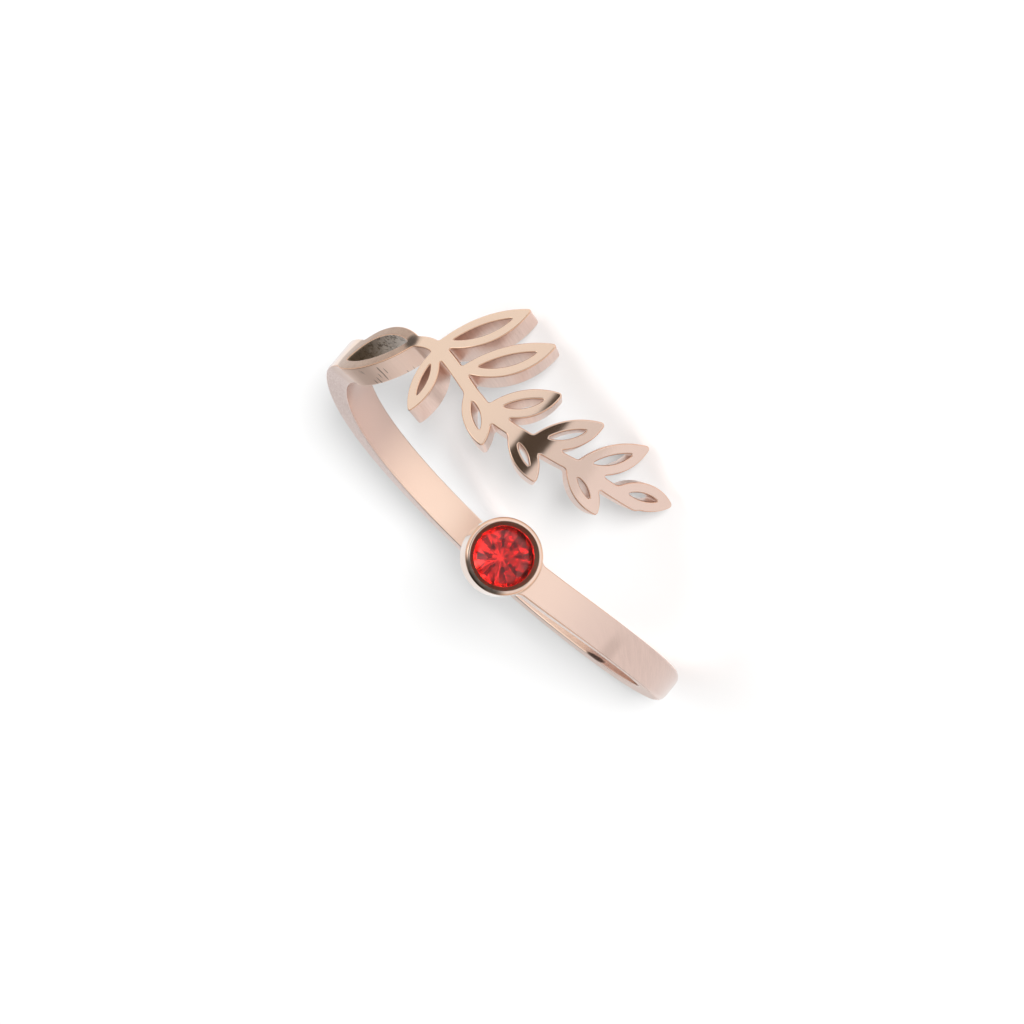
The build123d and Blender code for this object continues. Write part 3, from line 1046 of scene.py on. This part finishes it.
# Painted reflection: a copper-coloured line along the rounded edges of the faces
colour = rose.mix(on_edge * (1 - worn) * 0.6, colour, edge_reflection_colour)
colour = rose.mix(in_eye * 0.9, colour, hole_colour)
# Painted shade on the cup's turned wall
colour = rose.mix(cup_wall * 0.7, colour, shaded_cup_wall)
# Painted shade in the recess of the cup's bevel
colour = rose.mix(shaded_bevel * 0.9, colour, bevel_shade_colour)
# Painted dark reflection beside the cup's lip
colour = rose.mix(painted_lip_reflection * (0.7 + 0.4 * speckle), colour, lip_reflection_colour)
print("with all colours:", len(rose.tree.nodes), "nodes")

# %% Rose gold, its gloss and its relief
roughness = 0.06 + 0.04 * patches + 0.04 * on_inside + on_wall * (0.16 + 0.14 * cut_lines)
roughness = roughness + round_eye * 0.18 + shaded_bevel * 0.3 + worn * (0.06 + 0.08 * polish_lines)
fine = rose.bump(polish_lines * (0.2 + 0.7 * worn) * (1 - on_cup), 0.002 * MM, 0.5)
cut = rose.bump(cut_lines * on_wall + grain * in_eye * 3.0, 0.02 * MM, 0.6, fine)
rose_gold = rose.feed(Base_Color=colour, Roughness=roughness, Normal=cut)
print("rose gold:", len(rose.tree.nodes), "nodes")

# %% [markdown]
# The blank goes through the tree once, and what comes out is kept as a plain mesh, so that the modifier is
# gone. The model's own band is then hidden, and this mesh takes its place and moves with the one body there
# is.

# %% Bend the blank and keep the mesh
modifier = ring.modifiers.new("Bend", "NODES")
modifier.node_group = tree
values = {"Mandrel Radius": inner_radius * MM, "Sheet": sheet * MM, "Ring Centre": ring_centre,
          "Lie Angles": Vector(lie_angles), "Finish": rose_gold}
for item in tree.interface.items_tree:
    if item.in_out == "INPUT" and item.name in values:
        modifier[item.identifier] = values[item.name]
evaluated = ring.evaluated_get(bpy.context.evaluated_depsgraph_get())
bent_mesh = bpy.data.meshes.new_from_object(evaluated)
ring.modifiers.clear()
ring.data = bent_mesh
bpy.data.meshes.remove(blank)
print("bent mesh:", len(bent_mesh.vertices), "points,", len(bent_mesh.polygons), "faces")

# %% [markdown]
# Smooth shading takes a normal from the faces round a point, and large thin triangles spoil it beside a
# small rounded edge. The true normals are known from the making, so they are bent as the blank was: along
# the ring, up the finger's way, and away from the axis. The corners of the two faces point straight in or
# out.


# %% The normals of the bent mesh
def numbers(items, name, kind=float, size=1):
    """One named number or vector of every item, as an array."""
    values = np.empty(size * len(items), kind)
    items.foreach_get(name, values)
    return values.reshape(-1, size) if size > 1 else values


corner_point = numbers(bent_mesh.loops, "vertex_index", int)
side = np.repeat(numbers(bent_mesh.attributes["face_side"].data, "value", int),
                 numbers(bent_mesh.polygons, "loop_total", int))
part = numbers(bent_mesh.attributes["flat_normal"].data, "vector", size=3)[corner_point]
part[side != 0] = np.outer(side[side != 0], [0, 0, 1])
ring_axes = np.array(lie)
x, y, _ = ((numbers(bent_mesh.vertices, "co", size=3)[corner_point] - np.array(ring_centre)) @ ring_axes).T
away = np.stack([x, y, 0 * x], axis=1) / np.hypot(x, y)[:, None]
round_way = np.stack([-away[:, 1], away[:, 0], 0 * x], axis=1)
normals = part[:, :1] * round_way + part[:, 1:2] * np.array([0, 0, 1]) + part[:, 2:] * away
normals = normals @ ring_axes.T
normals /= np.linalg.norm(normals, axis=1)[:, None]
bent_mesh.normals_split_custom_set(normals.tolist())
for name in ("flat_normal", "face_side"):
    bent_mesh.attributes.remove(bent_mesh.attributes[name])
print("normals set at", len(normals), "corners")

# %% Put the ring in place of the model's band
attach(ring, "root")
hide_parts("ring_band")
low, high = (Vector(corner) for corner in (ring.bound_box[0], ring.bound_box[6]))
print("ring box in mm:", [round(c / MM, 3) for c in low], [round(c / MM, 3) for c in high])
print("triangles:", sum(len(face.vertices) - 2 for face in ring.data.polygons))

# %% [markdown]
# The stone is the packed model's own node, cut as a round brilliant, and only needs its finish. Such a
# small red stone is glass or crystal with a mirror foil behind it, which throws the light back through the
# front. So the facets under the girdle are metal, with darker wedges where a real cut sends no light back,
# and those above are clear red glass. Clear glass alone would only show the dark seat behind it.

# %% Red stone
red = Finish("red_stone", Roughness=0.02, IOR=1.52, Transmission_Weight=1.0)
*_, stone_far, stone_height, stone_turn = ring_places(red)
foiled = 1 - red.step(stone_height, 0.03, 0.045)
tone = red.noise(red.node("ShaderNodeTexCoord", output=3), 700.0, 1.0)
glass = red.mix(tone, (0.93, 0.02, 0.018), (0.96, 0.05, 0.045))
# Painted dark reflections: darker wedges in the foil, where a real cut sends no light back
dark_reflection_wedge = red.step((stone_turn * 8.0 + 0.9).cos() + 0.35 * (stone_turn * 3.0 + 2.0).cos(), 0.3, 0.5)
dark_reflection_wedge = dark_reflection_wedge * red.step(stone_far, 0.38, 0.46) * (1 - red.step(stone_far, 0.95, 1.05))
foil = red.mix(dark_reflection_wedge, (1.0, 0.78, 0.75), (0.33, 0.045, 0.055))
red_stone = red.feed(Base_Color=red.mix(foiled, glass, foil), Metallic=foiled,
                     Roughness=0.02 + 0.12 * foiled)
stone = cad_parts["round_stone"]
stone.data.materials.clear()
stone.data.materials.append(red_stone)

# %% [markdown]
# The camera looks at the ring's front from far away through a long lens, as for a jeweller's catalogue, so
# that near and far parts keep their proportions. It is placed by the upright ring: tipped up, swayed to one
# side, moved back, and turned in its own picture. The ring's lie then carries it to its place over the
# floor.

# %% Camera
tip = radians(7.838)
sway = radians(2.349)
picture_turn = radians(42.0)
camera_distance = 24.53 * outer_radius
side_shift = (-0.0077 * outer_radius, 0.0724 * outer_radius)
focal_length = 202.1
sensor_width = 36.0
camera_data = bpy.data.cameras.new("camera")
camera_data.lens = focal_length
camera_data.sensor_width = sensor_width
camera_data.clip_start = 0.01
camera_data.clip_end = 10.0
camera = new_object("camera", camera_data)
to_floor = Matrix.Translation(ring_centre) @ lie.to_4x4()
camera.matrix_world = (to_floor @ Matrix.Rotation(pi / 2 + tip, 4, "X") @ Matrix.Rotation(-sway, 4, "Z")
                       @ Matrix.Translation(Vector((*side_shift, camera_distance)) * MM)
                       @ Matrix.Rotation(picture_turn, 4, "Z"))
bpy.context.scene.camera = camera
print("camera at", [round(c / MM, 1) for c in camera.matrix_world.translation], "mm")

# %% [markdown]
# The floor is a plain pale sheet, large enough to fill the picture and to run on almost to the horizon in
# the ring's reflections. It is matt, so that it takes a soft shadow and shows no second ring.

# %% Floor
floor_size = 1.2
half = floor_size / 2
floor_corners = [(-half, -half, 0), (half, -half, 0), (half, half, 0), (-half, half, 0)]
floor_mesh = bpy.data.meshes.new("floor")
floor_mesh.from_pydata(floor_corners, [], [(0, 1, 2, 3)])
floor = new_object("floor", floor_mesh)
pale = Finish("pale_floor", Base_Color=(0.9, 0.9, 0.9, 1.0), Roughness=0.9, Specular_IOR_Level=0.1)
floor_mesh.materials.append(pale.material)
print("floor:", floor_size, "m wide")

# %% [markdown]
# A polished ring shows the room more than itself, so the light is the finish. The real one was photographed
# in a white tent: all is bright, but for a dark gap beside the camera, which shows as a dark streak across
# the faces, and a dark opening overhead, which draws the dark lines along the rims. Here the tent is the
# world's background, a brightness for each direction, with one brighter lamp for the glints. A soft low
# light throws the shadow behind the ring, and is kept out of the reflections, as a light behind a tent's
# wall is.

# %% The light tent
world = bpy.data.worlds.new("light_tent")
bpy.context.scene.world = world
world.use_nodes = True
tent = Shader(world.node_tree)
dx, dy, dz = tent.split(tent.node("ShaderNodeTexCoord", output=0))
way_round = dx.turn_to(-dy)
gap_way = radians(15.6)
gap_half_width = radians(7.0)
gap = 1 - tent.step(abs(way_round - gap_way), gap_half_width - 0.02, gap_half_width + 0.02)
gap = gap * (1 - tent.step(abs(dz - 0.12), 0.25, 0.45))
glow = 0.9 + 0.12 * tent.step(dx, -0.2, 0.8)
glow = glow - 0.1 * tent.step(dy, 0.1, 1.0) - 0.2 * tent.step(dz, 0.35, 0.9)
opening = 1 - tent.step(abs(dx + 0.12), 0.3, 0.4)
opening = opening * tent.step(dz, 0.36, 0.46) * tent.step(dy, -0.15, 0.0)
seen = tent.mix(1 - (1 - gap) * (1 - opening), tent.join(glow, glow, glow), (0.09, 0.075, 0.06))
strip_lamp = tent.step(0.57 * dx - 0.42 * dy + 0.707 * dz, cos(radians(14)), cos(radians(10)))
seen = tent.mix(strip_lamp, seen, (1.9, 1.9, 1.9))
# Where the camera itself looks past the floor, it sees plain white
seen = tent.mix(tent.node("ShaderNodeLightPath", output=0), seen, (1.0, 1.0, 1.0))
background = tent.tree.nodes["Background"]
background.inputs["Strength"].default_value = 1.0
tent.tree.links.new(seen.socket, background.inputs["Color"])
print("light tent:", len(tent.tree.nodes), "nodes")


# %% The low light
def soft_sun(name, turn, rise, width, strength):
    """A wide sun that shines at the ring, by its way round from the front, its rise and width in degrees."""
    data = bpy.data.lights.new(name, "SUN")
    data.angle = radians(width)
    data.energy = strength
    made = new_object(name, data)
    turn, rise = radians(turn), radians(rise)
    made.rotation_mode = "QUATERNION"
    way = Vector((sin(turn) * cos(rise), -cos(turn) * cos(rise), sin(rise)))
    made.rotation_quaternion = (-way).to_track_quat("-Z", "Y")
    return made


low_light = soft_sun("low_light", -2.0, 15.5, 9.0, 6.0)
low_light.visible_glossy = False
bpy.context.scene.view_settings.view_transform = "Standard"
print("low light:", low_light.data.energy, "W per square metre")

# %% [markdown]
